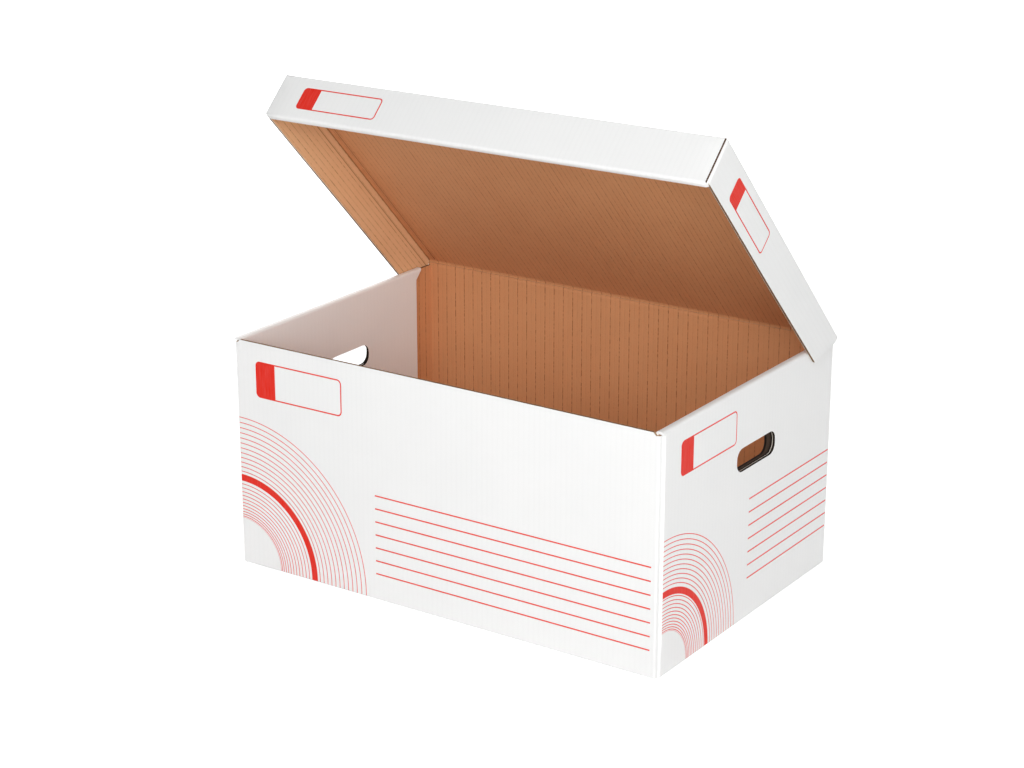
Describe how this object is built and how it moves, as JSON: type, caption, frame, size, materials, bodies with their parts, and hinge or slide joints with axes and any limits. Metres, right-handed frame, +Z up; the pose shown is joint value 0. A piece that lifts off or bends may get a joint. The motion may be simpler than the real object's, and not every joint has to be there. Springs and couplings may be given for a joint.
{
  "type": "flip-top archive storage box",
  "caption": "Open-topped rectangular carton of white-lined corrugated board with rolled double end walls, hand holes and a hinged flanged lid, for storing and carrying archive files.",
  "frame": {"origin": "middle of the tray's underside", "axes": "+X along the box's length, +Y from the front wall to the hinged back wall, +Z up"},
  "size_m": [0.55, 0.3663, 0.535],
  "materials": {
    "white_lined_board": "corrugated board, coated white outside and brown kraft inside, matt, raw brown cut edges"
  },
  "bodies": {
    "tray": {"tray": "white_lined_board"},
    "lid": {"lid": "white_lined_board"}
  },
  "joints": [
    {"name": "lid_hinge", "type": "hinge", "parent": "tray", "child": "lid", "pos_m": [0, 0.1825, 0.264], "axis": [-1, 0, 0], "range_deg": [-46, 134]}
  ]
}
